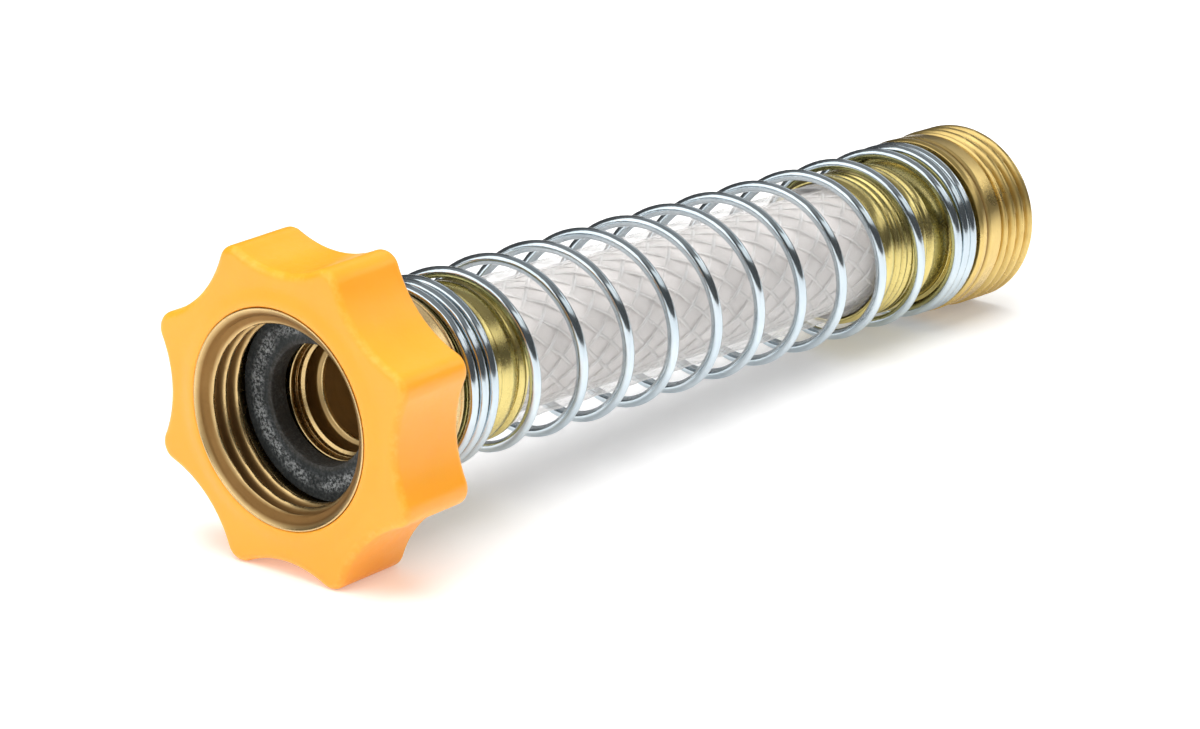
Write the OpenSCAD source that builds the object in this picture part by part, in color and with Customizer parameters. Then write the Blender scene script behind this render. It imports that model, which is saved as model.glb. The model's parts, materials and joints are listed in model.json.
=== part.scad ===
// Flexible hose protector: a short reinforced water hose inside a guard spring. A loose swivel nut with a
// lobed hand grip screws onto a tap, and a brass outlet takes the next hose.
// +X runs from the inlet's mouth to the outlet, +Z is up, and the origin is the centre of the mouth.
// It lies as it rests on a table: the nut stands square on two lobes, and the hose droops from the loose
// nut until the outlet's thread touches the table.

/* [Overall] */
// Length along the axis, from the inlet's mouth to the outlet's end
length = 152.4; // [145:0.1:170]

/* [Hose thread, 3/4-11.5 NH] */
// Distance from one thread crest to the next
thread_pitch = 2.209; // [2:0.001:2.4]
// Radius over the outlet's crests
outlet_crest_r = 13.45; // [13.2:0.01:13.5]
// Radius inside the inlet nut's crests
inlet_crest_r = 12.2; // [12.1:0.01:12.5]
// Height of a thread ridge
thread_height = 1.3; // [1:0.05:1.4]

/* [Grip] */
// Number of lobes round the grip
lobes = 8; // [8:1:8]
// Radius to the tip of a lobe
lobe_tip_r = 22.8; // [22.4:0.1:23]
// Radius to the bottom of the hollow between two lobes
lobe_valley_r = 19.5; // [19.2:0.1:19.7]
// Rounding of a lobe's tip, seen along the axis
lobe_round_r = 2.5; // [2.2:0.1:2.8]
// Where the grip's front face is
grip_front = 0.45; // [0.3:0.05:0.8]
// Where the grip's back face is
grip_back = 12.8; // [12.2:0.1:13]
// Rounding of the grip's front and back edges
grip_edge_r = 1.1; // [0.6:0.1:1.4]

/* [Swivel nut] */
// Outer radius of the nut inside the grip
nut_r = 14.65; // [14.5:0.05:14.8]
// Where the nut's back wall ends
nut_back = 15.2; // [15:0.1:15.5]
// Thickness of the nut's back wall
nut_wall = 1.75; // [1.5:0.05:1.8]
// Radius of the hole in the back wall
nut_hole_r = 10.6; // [10.55:0.05:10.8]

/* [Hose washer] */
// Where the washer's front face is
washer_front = 7.5; // [7.3:0.1:7.7]
// Thickness of the washer
washer_t = 2.95; // [2.6:0.05:3]
// Radius of the washer's hole
washer_hole_r = 8.1; // [7.9:0.1:8.2]

/* [Hose] */
// Radius of the water passage in the hose
bore_r = 6.35; // [6.3:0.05:6.4]
// Outer radius of the hose
hose_r = 10.1; // [10:0.05:10.15]
// Where the hose starts, inside the inlet ferrule
hose_start = 23.8; // [23.6:0.1:24.2]
// Where the hose ends, before the outlet's end
hose_end_gap = 17.5; // [17.2:0.1:17.8]

/* [Guard spring] */
// Diameter of the wire
wire_d = 1.6; // [1.5:0.02:1.62]
// Radius to the middle of the wire
coil_r = 12.3; // [12.28:0.01:12.34]
// Centre of the wire's first end
coil_start = 23.1; // [23.05:0.05:23.2]
// Advance of a closed turn at the inlet end
closed_pitch = 2; // [1.9:0.01:2.05]
// Advance of a closed turn at the outlet end
end_pitch = 1.76; // [1.7:0.01:1.8]
// Turns when the closed coils at the inlet end open out
open_from = 2.41; // [2.2:0.01:2.5]
// Number of open turns
open_turns = 10.85; // [10:0.01:11]
// Number of turns in all
turns = 15.58; // [15.4:0.01:15.7]

/* [Hidden] */
$fn = 96;

gap = 0.03;                                   // between pieces of one body that touch
slip = 0.1;                                   // between the hose and the metal that holds it
nut_back_r = nut_r - 0.7;                     // the nut behind the grip
nut_thread_end = 6.7;
key_r = 0.8;                                  // half-round keys that lock the grip to the nut
key_start = 2.5;
flange_front = 11.2;                          // the stem's flange, which the nut pulls on
flange_back = 12.7;
flange_r = 12.3;
rock_x = (flange_front + flange_back) / 2;    // the loose nut rocks about this point
collar_front = 16.5;
collar_back = 22.1;
collar_r = 12.3;
seat_r = 11.25;                               // what the closed coils sit on
ferrule_in_r = hose_r + slip;
ferrule_groove_r = 10.5;
ferrule_band_r = 10.85;                       // the edge of a rolled band
inlet_ferrule_end = 36.7;
outlet_ferrule_front = length - 35.4;
stem_bore_r = 5;                              // water passage in the metal tails
head_front = length - 13.8;                   // the outlet's smooth head, then its thread
thread_front = length - 8.1;
outlet_root_r = outlet_crest_r - thread_height;
crest_half = thread_pitch * 0.09;             // half of a crest's flat top
foot_half = thread_pitch * 0.43;              // half of a ridge at its root
inlet_first_crest = 1.35;
outlet_last_crest = length - 0.9;
hose_end = length - hose_end_gap;
liner_r = 8.2;                                // outer radius of the liner, then of the braid
braid_r = 8.9;

// The droop puts the outlet's last crest as low as the grip's two lowest lobes.
rest_r = lobe_tip_r - lobe_round_r;
rest_z = rest_r * cos(180 / lobes) + lobe_round_r;
rest_s = outlet_last_crest + crest_half - rock_x;
droop = asin((rest_z - outlet_crest_r * cos(3)) / rest_s);

// Open pitch, so that the coils fill the hose between the two seats
coil_end = head_front - wire_d / 2 - 0.1;
end_turns = turns - open_from - open_turns;
closed_length = closed_pitch * open_from + end_pitch * end_turns;
open_pitch = (coil_end - coil_start - closed_length) / open_turns;

// ---- helpers ----

// Turns a section round the X axis. The section's x is the radius and its y is the place along X.
module turned() {
    rotate([0, 90, 0]) rotate_extrude() children();
}

// Puts the hose's straight axis at its droop below the nut's axis.
module drooped() {
    translate([rock_x, 0, 0]) rotate([0, droop, 0]) translate([-rock_x, 0, 0]) children();
}

module block(r0, r1, x0, x1) {
    translate([r0, x0]) square([r1 - r0, x1 - x0]);
}

// A band whose outside bulges by crown between its two edges
module barrel(r0, edge_r, crown, x0, x1) {
    w = x1 - x0;
    big_r = (w * w / 4 + crown * crown) / (2 * crown);
    intersection() {
        translate([edge_r + crown - big_r, (x0 + x1) / 2]) circle(big_r, $fn = 180);
        block(r0, edge_r + crown, x0, x1);
    }
}

// One ridge of a thread with a flat crest. side is -1 for a ridge that stands inward.
module ridge(root_r, height, x, side = 1) {
    sunk = root_r - side * 0.3;
    top = root_r + side * height;
    polygon([[sunk, x - foot_half], [root_r, x - foot_half], [top, x - crest_half],
             [top, x + crest_half], [root_r, x + foot_half], [sunk, x + foot_half]]);
}

// ---- swivel ----

// Eight convex tips joined by concave scallops that run into them without a corner
module lobed_outline() {
    step = 360 / lobes;
    tip_at = lobe_tip_r - lobe_round_r;
    reach = tip_at * cos(step / 2);
    scallop_r = (lobe_round_r ^ 2 - lobe_valley_r ^ 2 - tip_at ^ 2 + 2 * lobe_valley_r * reach)
        / (2 * (lobe_valley_r - reach - lobe_round_r));
    scallop_at = lobe_valley_r + scallop_r;
    tip = [tip_at, 0];
    scallop = scallop_at * [cos(step / 2), sin(step / 2)];
    join = tip + lobe_round_r / (lobe_round_r + scallop_r) * (scallop - tip);
    join_r = norm(join);
    join_a = atan2(join.y, join.x);
    difference() {
        union() {
            polygon([for (k = [0 : lobes - 1], s = [-1, 1])
                join_r * [cos((k + 0.5) * step + s * join_a), sin((k + 0.5) * step + s * join_a)]]);
            for (k = [0 : lobes - 1])
                rotate((k + 0.5) * step) translate(tip) circle(lobe_round_r, $fn = 48);
        }
        for (k = [0 : lobes - 1])
            rotate(k * step) translate([scallop_at, 0]) circle(scallop_r, $fn = 96);
    }
}

// The keys, one behind each lobe, from where they start to the grip's back
module keys(r, start, end) {
    translate([start, 0, 0]) rotate([0, 90, 0]) linear_extrude(end - start)
        for (k = [0 : lobes - 1])
            rotate((k + 0.5) * 360 / lobes) translate([nut_r, 0]) circle(r, $fn = 32);
}

module grip() {
    crown_front = 0.05;
    crown_r = 15.1;
    face_r = 17.6;
    color("orange")
    difference() {
        union() {
            intersection() {
                translate([grip_front, 0, 0]) rotate([0, 90, 0])
                    linear_extrude(grip_back - grip_front) lobed_outline();
                turned() union() {
                    block(0, lobe_tip_r + 1, grip_front + grip_edge_r, grip_back - grip_edge_r);
                    block(0, lobe_tip_r - grip_edge_r, grip_front, grip_back);
                    for (x = [grip_front + grip_edge_r, grip_back - grip_edge_r])
                        translate([lobe_tip_r - grip_edge_r, x]) circle(grip_edge_r, $fn = 48);
                }
            }
            // the face rises a little to meet the nut's rim
            turned() polygon([[nut_r - 1, crown_front], [crown_r, crown_front], [face_r, grip_front],
                              [face_r, grip_front + 0.5], [nut_r - 1, grip_front + 0.5]]);
        }
        rotate([0, 90, 0]) cylinder(r = nut_r + gap, h = 3 * grip_back, center = true);
        keys(key_r + gap, key_start - gap, grip_back + 1);
    }
}

module swivel_nut() {
    root_r = inlet_crest_r + thread_height;
    relief_r = 13.25;
    crests = 3;
    color("goldenrod")
    union() {
        turned() union() {
            difference() {
                union() {
                    block(root_r, nut_r, 0, grip_back);
                    block(root_r, nut_back_r, grip_back - 1, nut_back);
                    block(relief_r, root_r + 0.4, nut_thread_end, nut_back);
                    block(nut_hole_r, root_r + 0.4, nut_back - nut_wall, nut_back);
                }
                // the mouth's sloping rim and its chamfer, and the back's outer edge
                polygon([[root_r - 1, -0.1], [nut_r - 0.1, -0.1], [root_r + 0.3, 0.45], [root_r - 0.5, 0.9],
                         [root_r - 1, 0.9]]);
                polygon([[nut_back_r + 0.1, nut_back - 0.8], [nut_back_r - 0.8, nut_back + 0.1],
                         [nut_back_r + 0.1, nut_back + 0.1]]);
            }
            for (k = [0 : crests - 1])
                ridge(root_r, thread_height, inlet_first_crest + k * thread_pitch, -1);
        }
        difference() {
            keys(key_r, key_start, grip_back);
            rotate([0, 90, 0]) cylinder(r = nut_r - 0.2, h = 3 * grip_back, center = true);
        }
    }
}

module hose_washer() {
    soft_r = 0.35;
    outer_r = 12.9;
    back = washer_front + washer_t;
    color("dimgray")
    turned() union() {
        block(washer_hole_r, outer_r - soft_r, washer_front, back);
        block(washer_hole_r, outer_r, washer_front + soft_r, back - soft_r);
        for (x = [washer_front + soft_r, back - soft_r])
            translate([outer_r - soft_r, x]) circle(soft_r, $fn = 32);
    }
}

// ---- inlet end ----

// The barbed tail that the hose is pushed over, from its root to its tip. A barb faces the root with a step,
// and slopes down over slope_w towards the tip.
module barbed_tail(root, tip) {
    tail_r = bore_r - slip - 0.35;
    barb_r = bore_r - slip;
    inside_r = 5.5;
    barbs = 4;
    slope_w = 2;
    side = sign(tip - root);
    block(stem_bore_r, tail_r, min(root, tip), max(root, tip));
    for (k = [1 : barbs]) {
        x = root + k * (tip - root) / (barbs + 1);
        block(inside_r, barb_r, x - 0.25, x + 0.25);
        slope_end = x + side * slope_w;
        slope = [[inside_r, x], [barb_r, x], [tail_r - 0.02, slope_end], [inside_r, slope_end]];
        polygon([for (i = [0 : 3]) slope[side > 0 ? i : 3 - i]]);
    }
}

module inlet_stem() {
    neck_r = 10.2;
    step_r = 7.6;
    rim_r = 6.6;
    tip = 37;
    color("goldenrod")
    drooped() turned() difference() {
        union() {
            block(stem_bore_r, flange_r, flange_front, flange_back);
            block(stem_bore_r, neck_r, flange_back - 0.5, collar_front + 0.5);
            block(stem_bore_r, collar_r, collar_front, collar_back);
            barbed_tail(collar_back - 0.5, tip);
        }
        // stepped mouth: the wide counterbore and its groove, a step, then the rim of the passage
        block(0, washer_hole_r, 0, 13.2);
        block(0, washer_hole_r + 0.35, 12.1, 12.5);
        block(0, step_r, 13, 15.6);
        block(0, rim_r, 13, 16.3);
        polygon([[0, 16.2], [rim_r, 16.2], [stem_bore_r, 20], [0, 20]]);
        // edge chamfers on the collar
        for (edge = [[collar_front, 1], [collar_back, -1]])
            polygon([[collar_r - 0.5, edge[0] - edge[1] * 0.01], [collar_r + 0.1, edge[0] - edge[1] * 0.01],
                     [collar_r + 0.1, edge[0] + edge[1] * 0.59]]);
    }
}

module inlet_ferrule() {
    color("darkgoldenrod")
    drooped() turned() union() {
        block(bore_r + 0.3, seat_r, collar_back + gap, hose_start - 0.3);
        block(ferrule_in_r, seat_r, hose_start - 0.4, 28.7);
        block(ferrule_in_r, ferrule_groove_r, 28.5, 36.5);
        barrel(ferrule_in_r, ferrule_band_r, 0.32, 28.7, 34.6);
        barrel(ferrule_in_r, ferrule_band_r, 0.25, 35, inlet_ferrule_end);
    }
}

// ---- hose ----

module hose_layer(r0, r1) {
    drooped() turned() block(r0, r1, hose_start, hose_end);
}

module hose_liner() {
    color("mistyrose") hose_layer(bore_r, liner_r);
}

module hose_braid() {
    color("white") hose_layer(liner_r + gap, braid_r);
}

module hose_jacket() {
    color("lavender", 0.5) hose_layer(braid_r + gap, hose_r);
}

// How far the coils have opened out after t turns, with a soft start of width soft
function opened(t, soft = 0.12) =
    t < -soft ? 0 : t > soft ? t : (t + soft) ^ 2 / (4 * soft);

// Place along the axis of the wire's middle after t turns
function coil_x(t) =
    coil_start + closed_pitch * t + (open_pitch - closed_pitch) * opened(t - open_from)
    - (open_pitch - end_pitch) * opened(t - open_from - open_turns);

function coil_point(t) = [coil_x(t), -coil_r * sin(360 * t), coil_r * cos(360 * t)];

module guard_spring() {
    sides = 8;
    rings_per_turn = 24;
    rings = ceil(turns * rings_per_turn);
    points = [for (i = [0 : rings]) let (
        t = i * turns / rings,
        p = coil_point(t),
        ahead = coil_point(t + 0.002) - coil_point(t - 0.002),
        tangent = ahead / norm(ahead),
        out = [0, -sin(360 * t), cos(360 * t)],
        side = cross(tangent, out))
        for (j = [0 : sides - 1]) let (a = 360 * j / sides)
            p + wire_d / 2 * (cos(a) * out + sin(a) * side)];
    faces = concat(
        [[for (j = [0 : sides - 1]) j]],
        [for (i = [0 : rings - 1], j = [0 : sides - 1])
            let (k = (j + 1) % sides, a = i * sides, b = a + sides) [a + j, b + j, b + k, a + k]],
        [[for (j = [sides - 1 : -1 : 0]) rings * sides + j]]);
    color("lightsteelblue")
    drooped() polyhedron(points, faces);
}

// ---- outlet end ----

// Rolled bands of the outlet ferrule: where each starts and ends, and how far its middle stands out
bands = [[0, 1.7, 0.25], [2.1, 5.4, 0.3], [5.9, 8, 0.25], [8.5, 11.7, 0.3], [12.1, 14.3, 0.25]];

module outlet_ferrule() {
    front = outlet_ferrule_front;
    neck = front + 14.3;
    seat = head_front - 4.6;
    color("darkgoldenrod")
    drooped() turned() union() {
        block(ferrule_in_r, ferrule_groove_r, front + 0.2, neck - 0.2);
        for (b = bands)
            barrel(ferrule_in_r, ferrule_band_r, b[2], front + b[0], front + b[1]);
        block(ferrule_in_r, ferrule_groove_r, neck - 0.5, seat + 0.5);
        block(ferrule_in_r, seat_r, seat, hose_end + 0.3);
        block(bore_r + 0.3, seat_r, hose_end + 0.2, head_front - gap);
    }
}

module outlet_fitting() {
    head_r = 13.2;
    mouth_r = 8.6;
    crests = 4;
    color("goldenrod")
    drooped() turned() difference() {
        union() {
            barbed_tail(head_front + 0.5, length - 35);
            block(stem_bore_r, head_r, head_front, thread_front);
            block(stem_bore_r, outlet_root_r, thread_front - 0.5, length);
            for (k = [0 : crests - 1])
                ridge(outlet_root_r, thread_height, outlet_last_crest - k * thread_pitch);
        }
        // groove round the head, then the chamfers of the head and the thread's end
        translate([head_r + 0.25, head_front + 2.1]) circle(0.6, $fn = 48);
        polygon([[head_r - 0.4, head_front - 0.01], [head_r + 0.1, head_front - 0.01],
                 [head_r + 0.1, head_front + 0.49]]);
        polygon([[outlet_root_r - 0.1, length + 0.01], [outlet_crest_r + 0.1, length - 0.6],
                 [outlet_crest_r + 0.1, length + 0.01]]);
        // the passage widens to the mouth
        polygon([[0, length - 9], [stem_bore_r, length - 9], [mouth_r - 1, length - 5],
                 [mouth_r - 1, length - 0.9], [mouth_r, length + 0.01], [0, length + 0.01]]);
    }
}

grip();
swivel_nut();
hose_washer();
inlet_stem();
inlet_ferrule();
hose_liner();
hose_braid();
hose_jacket();
guard_spring();
outlet_ferrule();
outlet_fitting();
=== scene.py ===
"""Looks for the flexible hose protector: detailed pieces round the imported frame, their materials, light and
camera.

Lengths are millimetres until a mesh is made. s is the distance along the hose's own axis from the inlet's
mouth, r the distance from that axis, and a turn is measured from +Y towards +Z."""

import json
import math

import bmesh
import bpy
from mathutils import Matrix, Vector


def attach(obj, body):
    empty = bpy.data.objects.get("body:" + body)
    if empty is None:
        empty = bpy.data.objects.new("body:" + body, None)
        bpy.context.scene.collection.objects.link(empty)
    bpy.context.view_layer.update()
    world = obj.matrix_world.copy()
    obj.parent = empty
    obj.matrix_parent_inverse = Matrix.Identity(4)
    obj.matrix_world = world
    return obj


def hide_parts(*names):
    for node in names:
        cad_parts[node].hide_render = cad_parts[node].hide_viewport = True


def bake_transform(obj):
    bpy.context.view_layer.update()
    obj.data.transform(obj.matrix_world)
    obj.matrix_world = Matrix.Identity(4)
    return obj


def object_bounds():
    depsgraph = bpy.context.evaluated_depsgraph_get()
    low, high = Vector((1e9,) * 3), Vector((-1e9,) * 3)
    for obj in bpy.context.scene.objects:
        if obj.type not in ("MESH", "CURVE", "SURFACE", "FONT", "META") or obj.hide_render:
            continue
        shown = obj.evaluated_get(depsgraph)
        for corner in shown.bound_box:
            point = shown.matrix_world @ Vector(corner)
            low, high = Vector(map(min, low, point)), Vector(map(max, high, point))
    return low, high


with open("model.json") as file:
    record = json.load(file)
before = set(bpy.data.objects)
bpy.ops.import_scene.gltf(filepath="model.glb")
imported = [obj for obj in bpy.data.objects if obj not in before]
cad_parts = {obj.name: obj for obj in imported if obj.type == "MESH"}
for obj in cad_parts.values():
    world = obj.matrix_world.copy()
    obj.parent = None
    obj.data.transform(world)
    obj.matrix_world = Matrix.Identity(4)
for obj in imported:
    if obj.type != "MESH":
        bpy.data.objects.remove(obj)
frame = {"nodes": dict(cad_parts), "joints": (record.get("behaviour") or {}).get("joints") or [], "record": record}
cad_lowest, cad_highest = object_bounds()

MM = 0.001
TAU = 2 * math.pi
record = frame["record"]
mounts = {m["name"]: m for m in record["mounts"]}
joints = {j["name"]: j for j in frame["joints"]}


# ---------------------------------------------------------------- where the frame puts things

ROCK = joints["nut_rock"]["pos_m"][0] / MM
DROOP = math.asin(-mounts["outlet_thread"]["axis"][2])
to_hose = (Matrix.Translation((ROCK, 0, 0)) @ Matrix.Rotation(DROOP, 4, "Y")
           @ Matrix.Translation((-ROCK, 0, 0)))
straight = Matrix.Identity(4)


def span(node, placed=to_hose):
    """First s, last s and largest r of a CAD node, about the axis that it is placed on."""
    back = placed.inverted()
    points = [back @ (v.co / MM) for v in frame["nodes"][node].data.vertices]
    along = [p.x for p in points]
    return min(along), max(along), max(math.hypot(p.y, p.z) for p in points)


def row_point(s):
    """The point of the row frame, in metres, at s on the hose's axis."""
    return (to_hose @ Vector((s, 0, 0))) * MM


def joint_s(name):
    """s of a bend joint's pivot."""
    return (to_hose.inverted() @ (Vector(joints[name]["pos_m"]) / MM)).x


# ---------------------------------------------------------------- camera

CAMERA_AZIMUTH = -50.837      # degrees from -Y towards +X
CAMERA_ELEVATION = 18.86      # degrees
CAMERA_DISTANCE = 0.4926      # metres from the target, which is in metres too
CAMERA_TARGET = Vector((0, -0.05258, 0.01881))
CAMERA_LENS = 126.12
CAMERA_SENSOR = 36


def make_camera():
    azimuth, elevation = math.radians(CAMERA_AZIMUTH), math.radians(CAMERA_ELEVATION)
    back = Vector((math.sin(azimuth) * math.cos(elevation), -math.cos(azimuth) * math.cos(elevation),
                   math.sin(elevation)))
    data = bpy.data.cameras.new("camera")
    data.lens = CAMERA_LENS
    data.sensor_width = CAMERA_SENSOR
    data.clip_start = 0.01
    camera = bpy.data.objects.new("camera", data)
    camera.location = CAMERA_TARGET + back * CAMERA_DISTANCE
    camera.rotation_mode = "QUATERNION"
    camera.rotation_quaternion = (-back).to_track_quat("-Z", "Y")
    bpy.context.scene.collection.objects.link(camera)
    bpy.context.scene.camera = camera


make_camera()


# ---------------------------------------------------------------- mesh helpers

SHARP = 35               # degrees: a mesh edge that turns by more is shaded as an edge


def smooth(t):
    """0 below 0, 1 above 1, and an S-shaped rise between."""
    t = min(1.0, max(0.0, t))
    return t * t * (3 - 2 * t)


def make_mesh(name, verts, faces, placed, marks, sharp=SHARP):
    """A mesh object in the row frame from points in millimetres. marks are float attributes, a list each."""
    mesh = bpy.data.meshes.new(name)
    mesh.from_pydata([(placed @ Vector(v)) * MM for v in verts], [], faces)
    mesh.polygons.foreach_set("use_smooth", [True] * len(mesh.polygons))
    for key, values in marks.items():
        mesh.attributes.new(key, "FLOAT", "POINT").data.foreach_set("value", values)
    mesh.update()
    mesh.set_sharp_from_angle(angle=math.radians(sharp))
    piece = bpy.data.objects.new(name, mesh)
    bpy.context.scene.collection.objects.link(piece)
    return piece


def finish_piece(piece, material, node, body=None, bend=None):
    """Material, slot and node of a piece, and how it moves: with one body, or, when bend is given, with no body,
    its placement baked into the mesh.
    """
    piece.data.materials.append(material)
    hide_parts(node)
    if bend:
        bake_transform(piece)
    else:
        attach(piece, body)


def rounded(corners, steps=6):
    """A closed outline of (s, r, rounding) corners as points, each corner rounded by such an arc."""
    points = []
    count = len(corners)
    for i, (s, r, rounding) in enumerate(corners):
        here = Vector((s, r))
        before = Vector(corners[i - 1][:2]) - here
        after = Vector(corners[(i + 1) % count][:2]) - here
        half = before.angle(after) / 2
        if half > math.radians(89.5):
            points.append((s, r))
            continue
        reach = min(rounding / math.tan(half), before.length * 0.49, after.length * 0.49)
        radius = reach * math.tan(half)
        centre = here + (before.normalized() + after.normalized()).normalized() * (radius / math.sin(half))
        first = here + before.normalized() * reach - centre
        last = here + after.normalized() * reach - centre
        turn = first.angle_signed(last)
        for k in range(steps + 1):
            spoke = Vector(first)
            spoke.rotate(Matrix.Rotation(-turn * k / steps, 2))
            points.append(tuple(centre + spoke))
    return points


def densify(points, low, high, step):
    """Adds points on the outline's sides between s low and high, so that a thread can be cut into them."""
    out = []
    for i, (s, r) in enumerate(points):
        t, q = points[(i + 1) % len(points)]
        out.append((s, r))
        if min(s, t) < high and max(s, t) > low and abs(t - s) > step:
            parts = math.ceil(abs(t - s) / step)
            out.extend((s + (t - s) * k / parts, r + (q - r) * k / parts) for k in range(1, parts))
    return out


def turned(name, outline, placed, shape=None, steps=192):
    """A closed outline turned round the axis. shape(s, r, turn) gives where a point really is, as a thread
    moves it, and how dull it is there."""
    verts, around, along, out, dull = [], [], [], [], []
    for s, r in outline:
        for j in range(steps):
            turn = TAU * j / steps
            a, b, tarnished = shape(s, r, turn) if shape else (s, r, 0.0)
            verts.append((a, b * math.cos(turn), b * math.sin(turn)))
            along.append(s)
            out.append(r)
            around.append(turn)
            dull.append(tarnished)
    rings = len(outline)
    faces = []
    for i in range(rings):
        k = (i + 1) % rings
        for j in range(steps):
            n = (j + 1) % steps
            faces.append((i * steps + j, i * steps + n, k * steps + n, k * steps + j))
    marks = {"along": along, "out": out, "around": around, "dull": dull}
    return make_mesh(name, verts, faces, placed, marks)


PITCH = 2.209            # of both threads, 3/4-11.5 NH
THREAD_HEIGHT = 1.3
THREAD_STEP = 0.11       # between the rings of points that a thread is cut into
THREAD_TURN_STEPS = 256  # points in each of those rings


def thread_ridge(s, turn, first):
    """How far a right-hand thread's ridge stands at a point, from 0 in the root to 1 on the crest."""
    phase = (s - first) / PITCH - turn / TAU
    off = abs(phase - round(phase))
    return 1 - smooth((off - 0.03) / 0.38)


def sweep(centres, frames, sides, wide, thick):
    """Points and faces of a closed oval tube along centres. frames gives (out, side) at each."""
    verts, faces = [], []
    last = len(centres) - 1
    for centre, (out, side) in zip(centres, frames):
        for j in range(sides):
            a = TAU * j / sides
            verts.append(centre + out * (thick * math.cos(a)) + side * (wide * math.sin(a)))
    for i in range(last):
        for j in range(sides):
            n = (j + 1) % sides
            faces.append((i * sides + j, i * sides + n, (i + 1) * sides + n, (i + 1) * sides + j))
    faces.append(tuple(range(sides))[::-1])
    faces.append(tuple(last * sides + j for j in range(sides)))
    return verts, faces


def fix_normals(piece):
    """Turns every face outwards."""
    work = bmesh.new()
    work.from_mesh(piece.data)
    bmesh.ops.recalc_face_normals(work, faces=work.faces)
    work.to_mesh(piece.data)
    work.free()
    piece.data.set_sharp_from_angle(angle=math.radians(SHARP))


# ---------------------------------------------------------------- materials

class Nodes:
    """A material's node tree, with short calls for the nodes that the materials share."""

    def __init__(self, name):
        self.material = bpy.data.materials.new(name)
        self.material.use_nodes = True
        self.tree = self.material.node_tree
        self.shader = self.tree.nodes["Principled BSDF"]

    def add(self, kind, inputs=None, **settings):
        node = self.tree.nodes.new(kind)
        for key, value in settings.items():
            setattr(node, key, value)
        for key, value in (inputs or {}).items():
            self.feed(node.inputs[key], value)
        return node

    def feed(self, socket, value):
        """Links an output to a socket, or sets the socket to a constant."""
        if isinstance(value, bpy.types.NodeSocket):
            self.tree.links.new(value, socket)
        else:
            socket.default_value = value

    def set(self, **values):
        """Inputs of the shader, with _ for a space in their names."""
        for key, value in values.items():
            self.feed(self.shader.inputs[key.replace("_", " ")], value)

    def mark(self, name):
        """One of the mesh's own float attributes."""
        return self.add("ShaderNodeAttribute", attribute_name=name).outputs["Fac"]

    def math(self, operation, a, b=0.0):
        return self.add("ShaderNodeMath", {0: a, 1: b}, operation=operation).outputs[0]

    def vector(self, x=0.0, y=0.0, z=0.0):
        return self.add("ShaderNodeCombineXYZ", {"X": x, "Y": y, "Z": z}).outputs[0]

    def place(self):
        """The row frame's own coordinates, in metres."""
        return self.add("ShaderNodeTexCoord").outputs["Object"]

    def noise(self, where, scale, detail=3.0, roughness=0.55):
        return self.add("ShaderNodeTexNoise", {"Vector": where, "Scale": scale, "Detail": detail,
                                               "Roughness": roughness}).outputs["Fac"]

    def ramp(self, value, low, high, to_low=0.0, to_high=1.0):
        """value taken from low..high to to_low..to_high, and held at the ends."""
        return self.add("ShaderNodeMapRange", {"Value": value, "From Min": low, "From Max": high,
                                               "To Min": to_low, "To Max": to_high}).outputs[0]

    def mix(self, share, a, b):
        """Colour a where share is 0, and b where it is 1."""
        node = self.add("ShaderNodeMix", data_type="RGBA")
        self.feed(node.inputs["Factor"], share)
        for socket, value in ((node.inputs[6], a), (node.inputs[7], b)):
            self.feed(socket, value if isinstance(value, bpy.types.NodeSocket) else (*value, 1.0))
        return node.outputs[2]

    def bump(self, height, depth, under=None):
        """depth is the height's full travel in metres."""
        inputs = {"Height": height, "Distance": depth, "Strength": 1.0}
        if under:
            inputs["Normal"] = under
        return self.add("ShaderNodeBump", inputs).outputs[0]

    def turning(self, scale):
        """Fine rings left by a lathe, all round a turned piece."""
        turn = self.mark("around")
        where = self.vector(self.math("MULTIPLY", self.mark("along"), scale),
                            self.math("MULTIPLY", self.mark("out"), scale),
                            self.math("MULTIPLY", self.math("COSINE", turn), 0.6))
        return self.noise(where, 1.0, 4.0, 0.7)


def grip_material():
    """Moulded plastic with faint flow marks, rubbed paler along its edges."""
    n = Nodes("grip_plastic")
    where = n.place()
    cloud = n.noise(where, 60, 3)
    fine = n.noise(where, 900, 4, 0.6)
    grain = n.noise(where, 3500, 2, 0.5)
    edge = n.mark("edge")
    colour = n.mix(n.ramp(cloud, 0.35, 0.65), (1.0, 0.385, 0.021), (1.0, 0.41, 0.027))
    rubbed = n.math("MULTIPLY", n.ramp(fine, 0.45, 0.7), edge)
    colour = n.mix(n.math("MULTIPLY", rubbed, 0.35), colour, (1.0, 0.60, 0.12))
    n.set(Base_Color=colour, Roughness=n.ramp(fine, 0.3, 0.7, 0.30, 0.42), Subsurface_Weight=0.12,
          Subsurface_Scale=0.004, IOR=1.49)
    n.shader.inputs["Subsurface Radius"].default_value = (1.0, 0.5, 0.1)
    n.set(Normal=n.bump(grain, 0.000012, n.bump(fine, 0.00003, n.bump(cloud, 0.0002))))
    return n.material


TARNISHED = (0.26, 0.14, 0.045)      # brass in grooves and bores


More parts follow.
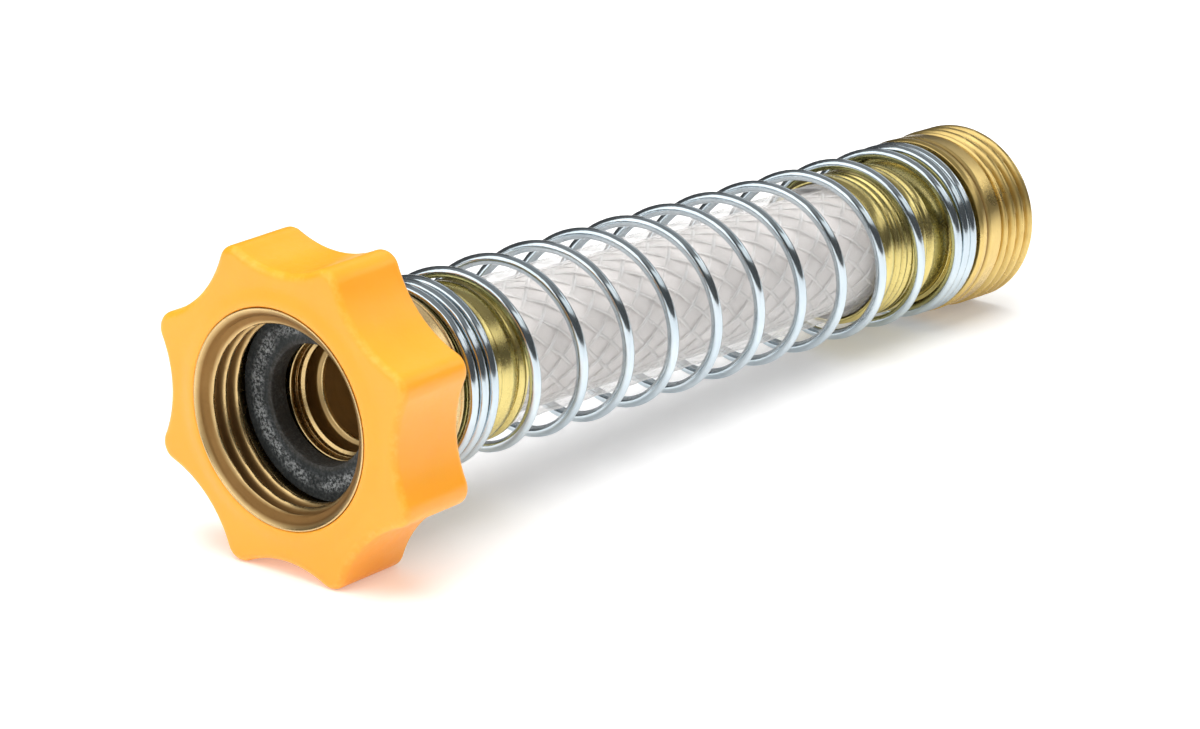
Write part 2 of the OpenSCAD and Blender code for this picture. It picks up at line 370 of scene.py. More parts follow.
def brass_material(name, bright, cloudy, tarnish, roughness, ring_depth=0.00001):
    """Turned brass: lathe rings, clouds and small spots of tarnish, browner and rougher where it is dull."""
    n = Nodes(name)
    where = n.place()
    rings = n.turning(9.0)
    cloud = n.noise(where, 140, 4, 0.6)
    spots = n.noise(where, 1400, 3, 0.6)
    dull = n.mark("dull")
    colour = n.mix(n.ramp(cloud, 0.35, 0.7), bright, cloudy)
    colour = n.mix(n.math("MULTIPLY", n.ramp(spots, 0.6, 0.75), 0.2), colour, tarnish)
    colour = n.mix(n.ramp(rings, 0.3, 0.7, 0.0, 0.25), colour, tarnish)
    colour = n.mix(dull, colour, TARNISHED)
    rough = n.math("ADD", n.ramp(cloud, 0.3, 0.7, roughness, roughness + 0.1),
                   n.ramp(spots, 0.5, 0.8, 0.0, 0.08))
    n.set(Base_Color=colour, Metallic=1.0, Roughness=n.math("ADD", rough, n.math("MULTIPLY", dull, 0.35)))
    n.set(Normal=n.bump(rings, ring_depth, n.bump(spots, 0.000003)))
    return n.material


def zinc_material():
    """Bright, bluish zinc plate with fine streaks drawn along the wire."""
    n = Nodes("zinc_wire")
    where = n.place()
    turn = n.mark("around")
    streak = n.noise(n.vector(n.math("MULTIPLY", n.mark("along"), 0.25),
                              n.math("MULTIPLY", n.math("COSINE", turn), 2.2),
                              n.math("MULTIPLY", n.math("SINE", turn), 2.2)), 1.0, 4, 0.65)
    cloud = n.noise(where, 120, 3)
    colour = n.mix(n.ramp(cloud, 0.35, 0.65), (0.52, 0.60, 0.65), (0.60, 0.67, 0.71))
    colour = n.mix(n.ramp(streak, 0.5, 0.75, 0.0, 0.35), colour, (0.38, 0.44, 0.48))
    n.set(Base_Color=colour, Metallic=1.0, Roughness=n.ramp(streak, 0.3, 0.7, 0.10, 0.2),
          Normal=n.bump(streak, 0.000012))
    return n.material


def washer_material():
    """Dark rubber with pale specks, most of them in the ring where a hose end has rubbed it."""
    n = Nodes("washer_rubber")
    where = n.place()
    patch = n.noise(where, 260, 4, 0.6)
    speck = n.noise(where, 2600, 4, 0.75)
    radius = n.mark("out")
    rubbed = n.math("MULTIPLY", n.ramp(radius, 9.2, 9.9), n.ramp(radius, 11.8, 11.1))
    share = n.math("MULTIPLY", n.ramp(speck, 0.45, 0.6), n.ramp(patch, 0.35, 0.6, 0.15, 1.0))
    share = n.math("MULTIPLY", share, n.math("ADD", n.math("MULTIPLY", rubbed, 0.85), 0.12))
    face = n.mix(patch, (0.014, 0.019, 0.020), (0.030, 0.035, 0.035))
    face = n.mix(n.ramp(radius, 8.9, 8.5), face, (0.036, 0.034, 0.029))
    n.set(Base_Color=n.mix(share, face, (0.50, 0.52, 0.52)), Roughness=n.ramp(speck, 0.3, 0.7, 0.85, 0.6),
          Normal=n.bump(speck, 0.00008, n.bump(patch, 0.0002)))
    return n.material


def liner_material():
    """Milky PVC."""
    n = Nodes("hose_liner")
    cloud = n.noise(n.place(), 180, 3)
    n.set(Base_Color=n.mix(n.ramp(cloud, 0.3, 0.7), (0.74, 0.70, 0.68), (0.82, 0.785, 0.765)),
          Roughness=n.ramp(cloud, 0.3, 0.7, 0.35, 0.5), Normal=n.bump(cloud, 0.0003))
    return n.material


def yarn_material():
    """Where a yarn of the highlight family passes over another it is painted white, a painted highlight, and where
    it dips it sinks into the milky hose.
    """
    n = Nodes("braid_yarn")
    fibres = n.math("SINE", n.math("ADD", n.math("MULTIPLY", n.mark("around"), 3.0),
                                   n.math("MULTIPLY", n.mark("along"), 18.0)))
    fray = n.noise(n.place(), 3000, 3)
    sunk = n.mix(n.ramp(fray, 0.3, 0.7), (0.84, 0.815, 0.795), (0.90, 0.88, 0.865))
    painted_highlight = n.mix(n.ramp(fray, 0.3, 0.7), (0.95, 0.95, 0.945), (1.0, 1.0, 0.995))
    # the lift mark is each yarn's share of painted white highlight
    n.set(Base_Color=n.mix(n.ramp(n.mark("lift"), 0.55, 0.85), sunk, painted_highlight),
          Roughness=n.ramp(fray, 0.3, 0.7, 0.3, 0.5), Normal=n.bump(fibres, 0.00003), Sheen_Weight=0.2)
    return n.material


def jacket_material():
    """Clear PVC: it shows what is behind it, is a little milky, and shines more at a glancing angle."""
    n = Nodes("hose_jacket")
    where = n.place()
    cloud = n.noise(where, 160, 3)
    fine = n.noise(where, 1500, 3)
    glance = n.add("ShaderNodeLayerWeight", {"Blend": 0.5}).outputs["Facing"]
    rim = n.math("POWER", glance, 4.0)
    n.set(Base_Color=n.mix(n.ramp(cloud, 0.3, 0.7), (0.86, 0.83, 0.81), (0.93, 0.91, 0.89)),
          Roughness=n.ramp(fine, 0.3, 0.7, 0.12, 0.22), IOR=1.52, Specular_IOR_Level=1.0,
          Alpha=n.math("ADD", n.ramp(cloud, 0.3, 0.7, 0.13, 0.18), n.math("MULTIPLY", rim, 0.6)),
          Normal=n.bump(fine, 0.00003, n.bump(cloud, 0.0004)))
    return n.material


def floor_material():
    """Pale paper that glows a little, so that shadows on it stay soft."""
    n = Nodes("floor")
    paper = n.noise(n.place(), 400, 3)
    n.set(Base_Color=n.mix(paper, (0.90, 0.90, 0.90), (0.915, 0.915, 0.915)),
          Roughness=n.ramp(paper, 0.3, 0.7, 0.42, 0.5), Specular_IOR_Level=0.35,
          Emission_Color=(1.0, 1.0, 1.0, 1.0), Emission_Strength=0.25)
    return n.material


grip_plastic = grip_material()
brass = brass_material("brass", (0.68, 0.50, 0.24), (0.57, 0.41, 0.19), (0.36, 0.24, 0.10), 0.2)
satin_brass = brass_material("satin_brass", (0.78, 0.58, 0.22), (0.67, 0.49, 0.18), (0.42, 0.28, 0.10), 0.24,
                             ring_depth=0.000014)
ferrule_brass = brass_material("ferrule_brass", (0.74, 0.62, 0.25), (0.64, 0.53, 0.20), (0.42, 0.33, 0.11),
                               0.18)
zinc_wire = zinc_material()
washer_rubber = washer_material()
liner_pvc = liner_material()
braid_yarn = yarn_material()
jacket_pvc = jacket_material()


# ---------------------------------------------------------------- grip

LOBES = 8
GRIP_FRONT, GRIP_BACK, TIP_R = span("grip", straight)
NUT_KEY = 0.8                 # half-round keys stand out of the nut, inside the grip
NUT_OUTER_R = span("swivel_nut", straight)[2] - NUT_KEY
TIP_ROUND = 2.5
VALLEY_R = 19.5
GRIP_EDGE = 1.1
GRIP_FACE = 0.45              # the flat of the front face, which rises to GRIP_FRONT round the nut
CROWN_R, CROWN_WIDTH = 15.1, 2.5


def lobed_points(inset, tip_steps=14, scallop_steps=26):
    """The grip's outline set in by inset: round tips that run into hollow scallops without a corner."""
    half_step = math.pi / LOBES
    tip_at = TIP_R - TIP_ROUND
    reach = tip_at * math.cos(half_step)
    scallop_r = ((TIP_ROUND ** 2 - VALLEY_R ** 2 - tip_at ** 2 + 2 * VALLEY_R * reach)
                 / (2 * (VALLEY_R - reach - TIP_ROUND)))
    scallop_at = VALLEY_R + scallop_r
    across = Vector((scallop_at * math.cos(half_step) - tip_at, scallop_at * math.sin(half_step)))
    tip_turn = math.atan2(across.y, across.x)
    scallop_turn = tip_turn - half_step
    points = []
    for k in range(LOBES):
        at = TAU * (k + 0.5) / LOBES
        for j in range(tip_steps + 1):
            a = at + tip_turn * (2 * j / tip_steps - 1)
            points.append((tip_at * math.cos(at) + (TIP_ROUND - inset) * math.cos(a),
                           tip_at * math.sin(at) + (TIP_ROUND - inset) * math.sin(a)))
        centre = at + half_step
        for j in range(1, scallop_steps):
            a = centre + math.pi + scallop_turn * (1 - 2 * j / scallop_steps)
            points.append((scallop_at * math.cos(centre) + (scallop_r + inset) * math.cos(a),
                           scallop_at * math.sin(centre) + (scallop_r + inset) * math.sin(a)))
    return points


def crowned(r):
    """Where the front face is at a radius."""
    return GRIP_FRONT + (GRIP_FACE - GRIP_FRONT) * smooth((r - CROWN_R) / CROWN_WIDTH)


def make_grip():
    """Rings of the lobed outline from the bore, over the front, round the sides, to the back and home. A ring
    is its kind, its x, how far it is set out or in, and how worn it is."""
    bore = NUT_OUTER_R + 0.03
    lip = 0.25
    front_steps, edge_steps, side_steps, back_steps = 8, 8, 6, 5
    rings = [("bore", GRIP_FRONT + lip, 0.0, 0.0), ("bore", GRIP_FRONT + lip * 0.3, lip * 0.3, 0.0),
             ("bore", GRIP_FRONT, lip, 0.0)]
    rings += [("front", 0.0, k / front_steps, 0.0) for k in range(1, front_steps)]
    for k in range(edge_steps + 1):
        a = math.pi / 2 * k / edge_steps
        rings.append(("edge", GRIP_FACE + GRIP_EDGE * (1 - math.cos(a)), GRIP_EDGE * (1 - math.sin(a)),
                      math.sin(2 * a)))
    rings += [("edge", GRIP_FACE + (GRIP_BACK - GRIP_FACE) * k / side_steps, 0.0, 0.0)
              for k in range(2, side_steps - 1)]
    for k in range(edge_steps + 1):
        a = math.pi / 2 * k / edge_steps
        rings.append(("edge", GRIP_BACK - GRIP_EDGE * (1 - math.sin(a)), GRIP_EDGE * (1 - math.cos(a)),
                      math.sin(2 * a)))
    rings += [("back", GRIP_BACK, 1 - k / back_steps, 0.0) for k in range(1, back_steps)]
    rings += [("bore", GRIP_BACK, lip, 0.0), ("bore", GRIP_BACK - lip, 0.0, 0.0)]
    verts, edge = [], []
    inner_edge = lobed_points(GRIP_EDGE)
    for kind, x, amount, worn in rings:
        outline = lobed_points(amount if kind == "edge" else GRIP_EDGE)
        for i, (y, z) in enumerate(outline):
            reach = math.hypot(y, z)
            if kind == "bore":
                wanted = bore + amount
            elif kind == "edge":
                wanted = reach
            else:
                whole = math.hypot(*inner_edge[i])
                wanted = bore + lip + (whole - bore - lip) * amount
            place = crowned(wanted) if kind == "front" else x
            verts.append((place, y * wanted / reach, z * wanted / reach))
            edge.append(worn)
    count = len(inner_edge)
    faces = []
    for i in range(len(rings)):
        k = (i + 1) % len(rings)
        for j in range(count):
            n = (j + 1) % count
            faces.append((i * count + j, k * count + j, k * count + n, i * count + n))
    piece = make_mesh("grip_moulding", verts, faces, straight, {"edge": edge}, sharp=50)
    finish_piece(piece, grip_plastic, "grip", "swivel")


make_grip()


# ---------------------------------------------------------------- nut and washer

def make_nut():
    """The brass nut: rim, helical thread, relief, back wall with the stem's hole, and the turned outside."""
    back = span("swivel_nut", straight)[1]
    outer = NUT_OUTER_R
    crest = mounts["inlet_thread"]["dims"]["r_mm"]
    root = crest + THREAD_HEIGHT
    thread_end = 6.7
    relief = 13.25
    shoulder = back - 1.75
    hole = 10.6
    outline = rounded([
        (0, outer, 0.1), (0, outer - 0.2, 0.12), (0.42, root + 0.3, 0.2), (0.75, root, 0.15),
        (thread_end, root, 0.05), (thread_end + 0.15, relief, 0.05), (shoulder, relief, 0.3),
        (shoulder, hole, 0.2), (back, hole, 0.3), (back, outer - 1.5, 0.2), (back - 0.8, outer - 0.7, 0.2),
        (GRIP_BACK + 0.05, outer - 0.7, 0.05), (GRIP_BACK - 0.2, outer, 0.1)])
    outline = densify(outline, 0.5, thread_end - 0.1, THREAD_STEP)
    first_crest = 1.3

    def threaded(s, r, turn):
        if not (0.12 < s < thread_end and r < root + 0.75):
            return s, r, 0.0
        lead_in = smooth((s - 0.45) / 0.7)
        run_out = smooth((thread_end - s) / 0.7)
        ridge = thread_ridge(s, turn, first_crest) * lead_in * run_out
        dull = 0.95 * (1 - smooth((ridge - 0.55) / 0.4)) * smooth((s - 0.15) / 0.2)
        return s, r - THREAD_HEIGHT * ridge, dull

    piece = turned("nut_body", outline, straight, threaded, THREAD_TURN_STEPS)
    finish_piece(piece, brass, "swivel_nut", "swivel")


def make_washer():
    """A moulded rubber ring with soft edges and a slightly uneven face."""
    front, back, outer = span("hose_washer", straight)
    hole = 8.1
    middle = (outer + hole) / 2
    outline = rounded([(front, hole, 0.35), (front, middle, 1.5), (front, outer, 0.35), (back, outer, 0.35),
                       (back, hole, 0.3)])

    def uneven(s, r, turn):
        wave = 0.05 * math.sin(3 * turn + 1) + 0.03 * math.sin(7 * turn)
        return (s + 0.05 + wave * 0.5 if s < front + 0.1 else s), r + (wave if r < hole + 0.3 else 0), 0.0

    piece = turned("washer_ring", outline, straight, uneven, 160)
    finish_piece(piece, washer_rubber, "hose_washer", "washer")


make_nut()
make_washer()


# ---------------------------------------------------------------- inlet end

TAIL_BORE, TAIL_R, BARB_R = 5, 5.9, 6.25        # of the brass tails inside the hose
SLEEVE_IN_R = 10.2                              # inside the sleeves, round the hose
SLEEVE_HOLE_R = 6.7                             # in the sleeves' end walls, round the tails


def barbs(root, tip, count, tail_r, barb_r):
    """Outline corners of a barbed tail from its root to its tip. Each barb's sharp side faces the root."""
    corners = []
    step = (tip - root) / (count + 1)
    side = 1 if step > 0 else -1
    for k in range(1, count + 1):
        s = root + k * step
        corners += [(s - 0.25 * side, tail_r, 0.1), (s - 0.25 * side, barb_r, 0.08), (s, barb_r, 0.08),
                    (s + 2 * side, tail_r, 0.1)]
    return corners


def make_stem():
    """Flange in the nut, neck, collar with a groove, barbed tail, and the stepped bore with its crest."""
    front, tip, collar_r = span("inlet_stem")
    collar_front, collar_back = 16.5, 22.1
    outline = rounded([
        (tip, TAIL_BORE, 0.2), (20, TAIL_BORE, 0.8), (16.2, 6.6, 0.3), (15.75, 6.75, 0.35), (15.55, 7.5, 0.3),
        (13.35, 7.6, 0.1), (13.15, 8.1, 0.1), (12.5, 8.1, 0.05), (12.45, 8.4, 0.05), (12.15, 8.4, 0.05),
        (12.1, 8.1, 0.05), (front, 8.1, 0.3), (front, collar_r, 0.25), (12.7, collar_r, 0.25),
        (12.7, 10.2, 0.3), (collar_front, 10.2, 0.3), (collar_front, collar_r, 0.45), (21.1, collar_r, 0.08),
        (21.25, collar_r - 0.2, 0.08), (21.5, collar_r - 0.2, 0.08), (21.65, collar_r - 0.02, 0.08),
        (collar_back, collar_r - 0.02, 0.3), (collar_back, TAIL_R, 0.1),
        *barbs(collar_back, tip, 4, TAIL_R, BARB_R), (tip, TAIL_R, 0.2)])

    def in_mouth(s, r, turn):
        if r > 8.5 or s < front + 0.3:
            return s, r, 0.0
        step_at, step_reach, tarnished = 15.4, 0.4, 0.6
        return s, r, tarnished if s > 16 else tarnished * (1 - smooth(abs(s - step_at) / step_reach))

    piece = turned("stem_body", outline, to_hose, in_mouth)
    finish_piece(piece, brass, "inlet_stem", "inlet_end")


def make_inlet_ferrule():
    """The seat under the closed coils, then a rolled bead, a wide band and the rolled rim."""
    front, back, seat = span("inlet_ferrule")
    wall_end = 23.6
    outline = rounded([
        (front, SLEEVE_HOLE_R, 0.1), (front, seat, 0.2), (28.7, seat, 0.3), (29.0, 10.85, 0.15),
        (29.6, 10.85, 0.3), (30.1, 11.1, 0.3), (30.8, 11.1, 0.3), (31.2, 10.8, 0.2), (31.8, 11.0, 0.6),
        (32.8, 11.22, 1.5), (33.8, 11.1, 1.2), (34.5, 10.65, 0.3), (34.9, 10.6, 0.15), (35.2, 10.9, 0.2),
        (35.6, 11.12, 0.4), (36.3, 11.05, 0.35), (back, 10.6, 0.2), (back, SLEEVE_IN_R, 0.1),
        (wall_end, SLEEVE_IN_R, 0.1), (wall_end, SLEEVE_HOLE_R, 0.1)])
    piece = turned("inlet_sleeve", outline, to_hose)
    finish_piece(piece, ferrule_brass, "inlet_ferrule", "inlet_end")


make_stem()
make_inlet_ferrule()


# ---------------------------------------------------------------- outlet end

HEAD_GAP = 0.03               # between the longer sleeve and the outlet's head


def make_outlet_ferrule():
    """The longer sleeve: six rolled bands, then the plain seat under the closed coils."""
    front, back, seat = span("outlet_ferrule")
    groove = 10.5
    hose_end = span("hose_jacket")[1]
    bands = [(0.0, 2.8, 11.15), (3.2, 4.4, 11.0), (4.7, 5.9, 11.05), (6.3, 8.2, 11.1), (8.6, 10.8, 11.2),
             (11.2, 12.9, 11.1)]
    corners = [(hose_end + 0.3, SLEEVE_HOLE_R, 0.1), (hose_end + 0.3, SLEEVE_IN_R, 0.1),
               (front, SLEEVE_IN_R, 0.1)]
    for low, high, top in bands:
        width = high - low
        corners += [(front + low, groove, 0.15), (front + low + width * 0.2, top - 0.1, width * 0.25),
                    (front + low + width * 0.5, top, width * 0.5),
                    (front + low + width * 0.8, top - 0.1, width * 0.25), (front + high, groove, 0.15)]
    neck = front + bands[-1][1] + 0.2
    corners += [(neck, groove, 0.1), (back - 4.6, groove, 0.2), (back - 4.5, seat, 0.2), (back, seat, 0.2),
                (back, SLEEVE_HOLE_R, 0.1)]
    piece = turned("outlet_sleeve", rounded(corners), to_hose)
    finish_piece(piece, ferrule_brass, "outlet_ferrule", "outlet_end")


def make_outlet():
    """Tail, head with its groove, helical male thread and the widened mouth."""
    tip, end, crest = span("outlet_fitting")
    ferrule_end = span("outlet_ferrule")[1]
    head_front = ferrule_end + HEAD_GAP
    head_r = 13.2
    root = crest - THREAD_HEIGHT
    thread_front = end - 7.9
    mouth = 8.6
    outline = rounded([
        (tip, TAIL_BORE, 0.2), (tip, TAIL_R, 0.2), *reversed(barbs(head_front, tip, 4, TAIL_R, BARB_R)),
        (head_front, TAIL_R, 0.1), (head_front, head_r - 0.3, 0.2), (head_front + 0.45, head_r + 0.05, 0.4),
        (head_front + 1.4, head_r, 0.4), (head_front + 1.75, head_r - 0.45, 0.12),
        (head_front + 2.15, head_r - 0.45, 0.12), (head_front + 2.5, head_r - 0.02, 0.25),
        (thread_front - 0.7, head_r - 0.05, 0.4), (thread_front, root + 0.25, 0.3),
        (end - 0.3, root + 0.25, 0.05), (end, root, 0.25), (end, mouth, 0.3), (end - 0.9, mouth - 1, 0.3),
        (end - 5, mouth - 1, 0.4), (end - 9, TAIL_BORE, 0.6)])
    outline = densify(outline, thread_front + 0.05, end - 0.05, THREAD_STEP)
    first_crest = end - 1.9

    def threaded(s, r, turn):
        if not (thread_front - 0.5 < s < end and r > root - 0.2):
            in_groove = head_front + 1.6 < s < head_front + 2.3
            return s, r, 0.7 if in_groove else 0.0
        chamfer = crest - max(0.0, s - (end - 0.5)) * 1.2
        ridge = thread_ridge(s, turn, first_crest) * smooth((s - thread_front + 0.5) / 0.7)
        return s, max(r, min(root + THREAD_HEIGHT * ridge, chamfer)), 0.4 * (1 - smooth(ridge / 0.5))

    piece = turned("outlet_body", outline, to_hose, threaded, THREAD_TURN_STEPS)
    finish_piece(piece, satin_brass, "outlet_fitting", "outlet_end")


make_outlet_ferrule()
make_outlet()


# ---------------------------------------------------------------- hose: it bends, so each layer is two halves

BEND_START = span("inlet_ferrule")[1]
BEND_END = span("outlet_ferrule")[0]
BEND_MIDDLE = (joint_s("inlet_bend") + joint_s("outlet_bend")) / 2
HOSE_START, HOSE_END, HOSE_R = span("hose_jacket")
HALVES = {                    # where each starts and ends, its two bodies, and between which points it bends
    "inlet": (HOSE_START, BEND_MIDDLE, ("inlet_end", "hose", row_point(BEND_START), row_point(BEND_MIDDLE))),
    "outlet": (BEND_MIDDLE, HOSE_END, ("hose", "outlet_end", row_point(BEND_MIDDLE), row_point(BEND_END))),
}

LINER_IN_R, LINER_OUT_R = 6.35, 8.36
JACKET_IN_R = 8.93
SWELL = 0.12                  # how far the jacket stands out between the yarns
YARNS = 14                    # wound each way
YARN_LEAD = 72.0              # along the hose, for one turn of a yarn
YARN_R = 8.56
YARN_WIDE, YARN_THICK = 0.27, 0.12      # half the width, half the thickness
YARN_STEP = 0.55
HIGHLIGHT_WAY = -1                # the yarns wound this way get a painted white highlight where they are raised
PLAIN_HIGHLIGHT_SHARE = 0.35             # how raised the others look, all along, as their share of painted highlight
WEAVE = 0.17                  # how far a yarn goes over and under YARN_R


def swell(s, turn):
    """The jacket stands out a little between the yarns, in the diamonds that they make."""
    first = YARNS * (turn / TAU + s / YARN_LEAD)
    second = YARNS * (turn / TAU - s / YARN_LEAD)
    return math.sin(math.pi * first) ** 2 * math.sin(math.pi * second) ** 2


def make_layer(name, low, high, inner, outer, bump, open_at, steps=224, ring_gap=0.45):
    """One half of a hose layer. open_at is the s where the halves meet, or None for closed ends."""
    rings = math.ceil((high - low) / ring_gap)
    verts, faces, along = [], [], []
    stations = [low + (high - low) * i / rings for i in range(rings + 1)]
    for radius, stands in ((outer, bump), (inner, 0.0)):
        for s in stations:
            for j in range(steps):
                turn = TAU * j / steps
                r = radius - stands + stands * swell(s, turn)
                verts.append((s, r * math.cos(turn), r * math.sin(turn)))
                along.append(s)
    inner_base = (rings + 1) * steps
    for i in range(rings):
        for j in range(steps):
            n = (j + 1) % steps
            a, b = i * steps, (i + 1) * steps
            faces.append((a + j, b + j, b + n, a + n))
            faces.append((inner_base + a + j, inner_base + a + n, inner_base + b + n, inner_base + b + j))
    for ring, s in ((0, low), (rings, high)):
        if open_at is not None and abs(s - open_at) < 1e-6:
            continue
        for j in range(steps):
            n = (j + 1) % steps
            a = ring * steps
            quad = (a + j, a + n, inner_base + a + n, inner_base + a + j)
            faces.append(quad if ring == 0 else quad[::-1])
    return make_mesh(name, verts, faces, to_hose, {"along": along})


def make_yarns(name, low, high):
    """Two families of flat yarns, wound opposite ways and woven over and under each other."""
    verts, faces, along, around, highlight_shares = [], [], [], [], []
    sides = 8
    for way in (-1, 1):
        for k in range(YARNS):
            start = TAU * k / YARNS
            steps = math.ceil((high - low) / YARN_STEP)
            centres, frames, painted_highlight = [], [], []
            for i in range(steps + 1):
                s = low + (high - low) * i / steps
                turn = start + way * TAU * s / YARN_LEAD
                other = YARNS * (turn / TAU + way * s / YARN_LEAD)
                lift = way * WEAVE * math.cos(math.pi * other) * (-1) ** k
                # share of painted white highlight: it follows the weave on the highlight family and is fixed on
                # the others
                painted_highlight.append((lift / WEAVE + 1) / 2 if way == HIGHLIGHT_WAY else PLAIN_HIGHLIGHT_SHARE)
                out = Vector((0, math.cos(turn), math.sin(turn)))
                r = YARN_R + lift
                ahead = Vector((YARN_LEAD / TAU / YARN_R, -way * math.sin(turn),
                                way * math.cos(turn))).normalized()
                centres.append(Vector((s, 0, 0)) + out * r)
                frames.append((out, ahead.cross(out).normalized()))
            tube, quads = sweep(centres, frames, sides, YARN_WIDE, YARN_THICK)
            base = len(verts)
            verts += tube
            faces += [tuple(base + i for i in quad) for quad in quads]
            for i in range(steps + 1):
                along += [(high - low) * i / steps] * sides
                around += [TAU * j / sides for j in range(sides)]
                highlight_shares += [painted_highlight[i]] * sides
    # the lift attribute carries the painted highlight share that the yarn material reads
    piece = make_mesh(name, verts, faces, to_hose, {"along": along, "around": around, "lift": highlight_shares})
    fix_normals(piece)
    return piece


for side, (low, high, bend) in HALVES.items():
    liner = make_layer(f"liner_{side}_half", low, high, LINER_IN_R, LINER_OUT_R, 0.0, None,
                       steps=96, ring_gap=1.5)
    finish_piece(liner, liner_pvc, "hose_liner", bend=bend)
    yarns = make_yarns(f"braid_{side}_half", low, high)
    finish_piece(yarns, braid_yarn, "hose_braid", bend=bend)
    jacket = make_layer(f"jacket_{side}_half", low, high, JACKET_IN_R, HOSE_R, SWELL, BEND_MIDDLE)
    finish_piece(jacket, jacket_pvc, "hose_jacket", bend=bend)


# ---------------------------------------------------------------- guard spring

WIRE_R = 0.8
COIL_R = 12.3
CUT = 0.12                    # chamfer of the wire's cut ends
CLOSED_PITCH = 2.0            # at the inlet end
END_PITCH = 1.76              # at the outlet end
OPEN_FROM = 2.41              # closed turns at the inlet end
OPEN_TURNS = 10.85
TURNS = 15.58                 # in all
SPRING_START = span("guard_spring")[0] + WIRE_R
SPRING_END = span("outlet_ferrule")[1] + HEAD_GAP - WIRE_R - 0.1      # 0.1 clear of the outlet's head
CLOSED_LENGTH = CLOSED_PITCH * OPEN_FROM + END_PITCH * (TURNS - OPEN_FROM - OPEN_TURNS)
OPEN_PITCH = (SPRING_END - SPRING_START - CLOSED_LENGTH) / OPEN_TURNS


def opened(t, soft=0.12):
    """t above 0 and nothing below it, with the corner at 0 rounded off."""
    if t < -soft:
        return 0.0
    return t if t > soft else (t + soft) ** 2 / (4 * soft)


def coil_s(t):
    """s of the wire after t turns."""
    return (SPRING_START + CLOSED_PITCH * t + (OPEN_PITCH - CLOSED_PITCH) * opened(t - OPEN_FROM)
            - (OPEN_PITCH - END_PITCH) * opened(t - OPEN_FROM - OPEN_TURNS))


def coil_point(t):
    return Vector((coil_s(t), -COIL_R * math.sin(TAU * t), COIL_R * math.cos(TAU * t)))


def coil_turn_at(s):
    """How many turns the wire has made when it reaches s."""
    low, high = 0.0, TURNS
    for _ in range(50):
        middle = (low + high) / 2
        low, high = (middle, high) if coil_s(middle) < s else (low, middle)
    return low


def make_coils(name, first, last, cut_first, cut_last):
    """Part of the spring's wire. A cut end is chamfered, and an end where the halves meet is not."""
    per_turn, sides = 72, 20
    steps = math.ceil((last - first) * per_turn)
    turns = [first + (last - first) * i / steps for i in range(steps + 1)]
    nib = CUT / (TAU * COIL_R)
    if cut_first:
        turns.insert(1, first + nib)
    if cut_last:
        turns.insert(-1, last - nib)
    verts, along, around = [], [], []
    for i, t in enumerate(turns):
        ahead = (coil_point(t + 0.002) - coil_point(t - 0.002)).normalized()
        out = Vector((0, -math.sin(TAU * t), math.cos(TAU * t)))
        side = ahead.cross(out)
        chamfered = (cut_first and i == 0) or (cut_last and i == len(turns) - 1)
        r = WIRE_R - CUT if chamfered else WIRE_R
        for j in range(sides):
            a = TAU * j / sides
            verts.append(coil_point(t) + out * (r * math.cos(a)) + side * (r * math.sin(a)))
            along.append(t * TAU * COIL_R)
            around.append(a)
    faces = []
    for i in range(len(turns) - 1):
        for j in range(sides):
            n = (j + 1) % sides
            faces.append((i * sides + j, (i + 1) * sides + j, (i + 1) * sides + n, i * sides + n))
    faces.append(tuple(range(sides)))
    faces.append(tuple((len(turns) - 1) * sides + j for j in range(sides))[::-1])
    piece = make_mesh(name, verts, faces, to_hose, {"along": along, "around": around})
    fix_normals(piece)
    return piece


middle_turn = coil_turn_at(BEND_MIDDLE)
for side, first, last in (("inlet", 0.0, middle_turn), ("outlet", middle_turn, TURNS)):
    coils = make_coils(f"spring_{side}_half", first, last, side == "inlet", side == "outlet")
    finish_piece(coils, zinc_wire, "guard_spring", bend=HALVES[side][2])


# ---------------------------------------------------------------- floor, light and world

STAGE_X = 0.07                # the middle of the floor and of the lights, in metres, under the part's middle
FLOOR_R = 0.95                # the floor ends here, and the studio starts behind it


def make_floor():
    z = cad_lowest.z
    sides = 96
    rim = [(FLOOR_R * math.cos(TAU * k / sides) + STAGE_X, FLOOR_R * math.sin(TAU * k / sides), z)
           for k in range(sides)]
    mesh = bpy.data.meshes.new("floor")
    mesh.from_pydata(rim, [], [tuple(range(sides))])
    mesh.materials.append(floor_material())
    floor = bpy.data.objects.new("floor", mesh)
    bpy.context.scene.collection.objects.link(floor)


def direction(azimuth, elevation):
    """A unit vector. Both are in degrees, and azimuth is measured from +X towards +Y."""
    a, e = math.radians(azimuth), math.radians(elevation)
    return Vector((math.cos(e) * math.cos(a), math.cos(e) * math.sin(a), math.sin(e)))


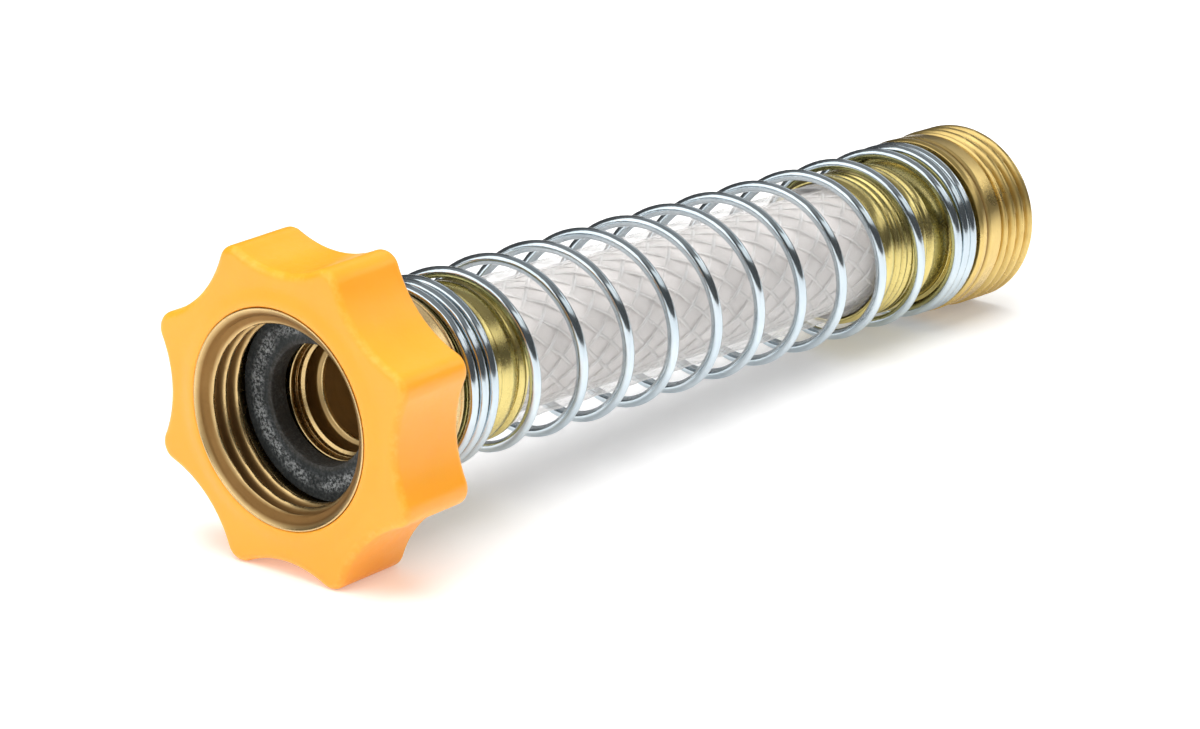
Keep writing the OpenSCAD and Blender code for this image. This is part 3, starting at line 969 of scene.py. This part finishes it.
def softbox(name, azimuth, elevation, distance, size, radiance, mirrored=True):
    """A rectangular light that looks at the part. distance and size are in metres, and mirrored is whether
    shiny things show it."""
    data = bpy.data.lights.new(name, "AREA")
    data.shape = "RECTANGLE"
    data.size, data.size_y = size
    data.energy = radiance * math.pi * size[0] * size[1]
    lamp = bpy.data.objects.new(name, data)
    toward = direction(azimuth, elevation)
    lamp.location = Vector((STAGE_X, 0, 0)) + toward * distance
    lamp.rotation_mode = "QUATERNION"
    lamp.rotation_quaternion = (-toward).to_track_quat("-Z", "Y")
    lamp.visible_glossy = mirrored
    bpy.context.scene.collection.objects.link(lamp)


STUDIO_DARK = 0.09            # low down, as shiny things show it
STUDIO_TOP = 0.32             # overhead
BACKDROP = 1.0                # what the camera sees behind the floor


def make_world():
    """A dim studio that is a little lighter overhead. The camera sees a pale backdrop instead."""
    world = bpy.data.worlds.new("studio")
    world.use_nodes = True
    nodes, links = world.node_tree.nodes, world.node_tree.links
    height = nodes.new("ShaderNodeSeparateXYZ")
    links.new(nodes.new("ShaderNodeTexCoord").outputs["Generated"], height.inputs[0])
    ramp = nodes.new("ShaderNodeMapRange")
    ramp.interpolation_type = "SMOOTHSTEP"
    for key, value in (("From Min", 0.55), ("From Max", 0.95), ("To Min", STUDIO_DARK),
                       ("To Max", STUDIO_TOP)):
        ramp.inputs[key].default_value = value
    links.new(height.outputs["Z"], ramp.inputs["Value"])
    seen = nodes.new("ShaderNodeLightPath").outputs["Is Camera Ray"]
    mix = nodes.new("ShaderNodeMix")
    links.new(seen, mix.inputs["Factor"])
    links.new(ramp.outputs["Result"], mix.inputs[2])
    mix.inputs[3].default_value = BACKDROP
    links.new(mix.outputs[0], nodes["Background"].inputs["Color"])
    bpy.context.scene.world = world


make_floor()
make_world()
softbox("left", 165, 32, 1.2, (1.25, 1.05), 1.75)
softbox("right", -25, 30, 1.0, (0.5, 0.34), 1.7)
softbox("back", 16, 36, 1.0, (0.72, 0.38), 0.8)
softbox("front_strip", -90, 41, 1.2, (1.5, 0.38), 1.1)
softbox("overhead", 180, 86, 1.3, (1.4, 1.4), 3.6, mirrored=False)
bpy.context.scene.view_settings.view_transform = "Standard"
